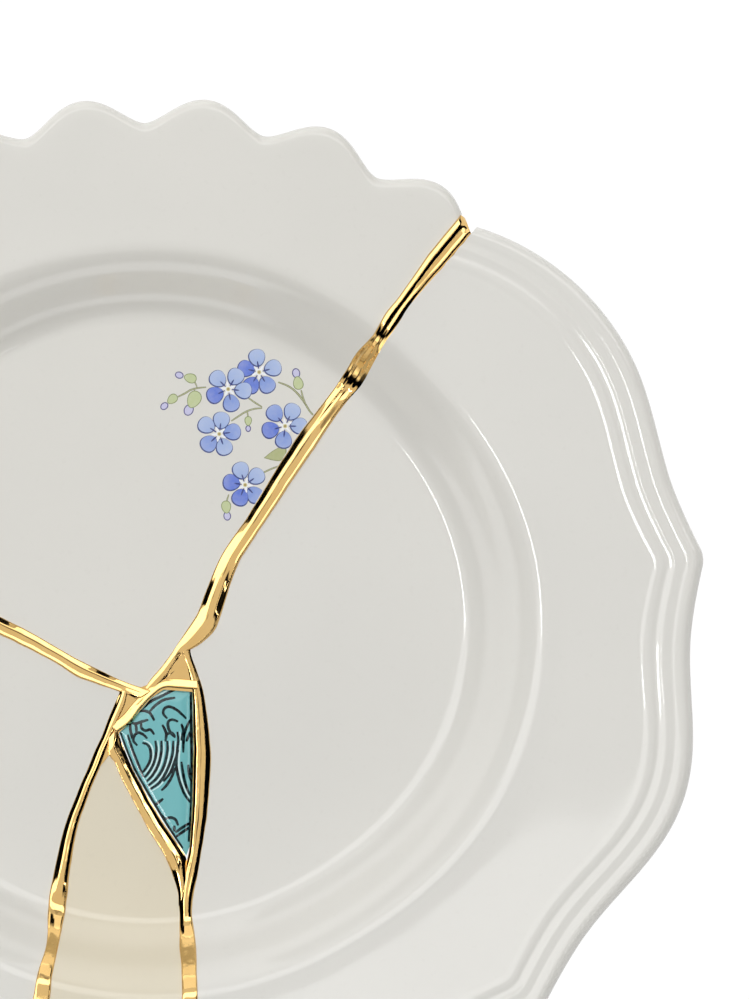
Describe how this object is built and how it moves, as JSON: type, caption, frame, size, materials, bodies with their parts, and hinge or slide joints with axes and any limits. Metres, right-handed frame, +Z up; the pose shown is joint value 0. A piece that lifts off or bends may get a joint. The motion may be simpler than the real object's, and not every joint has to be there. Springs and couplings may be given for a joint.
{
  "type": "kintsugi fruit plate",
  "caption": "Shallow round porcelain plate on a foot ring, put together from shards of unlike plates with raised gold seams, to hold fruit or dessert.",
  "frame": {"origin": "on the foot ring's axis, at the height the foot rests on, which is also the middle of the footprint", "axes": "+Z up out of the eating surface, +X towards the middle of the lobed rim, +Y towards the scalloped rim"},
  "size_m": [0.1906, 0.1788, 0.0198],
  "materials": {
    "painted_porcelain": "clear gloss glaze over white porcelain with a blue flower decal",
    "white_porcelain": "clear gloss glaze over white porcelain",
    "cream_porcelain": "clear gloss glaze over cream porcelain",
    "teal_porcelain": "gloss teal glaze with fine black line work",
    "gold": "polished gold over a raised filler"
  },
  "bodies": {
    "root": {"scalloped_shard": "painted_porcelain", "lobed_shard": "white_porcelain", "left_shard": "white_porcelain", "cream_shard": "cream_porcelain", "teal_shard": "teal_porcelain", "gold_seam": "gold"}
  },
  "joints": []
}
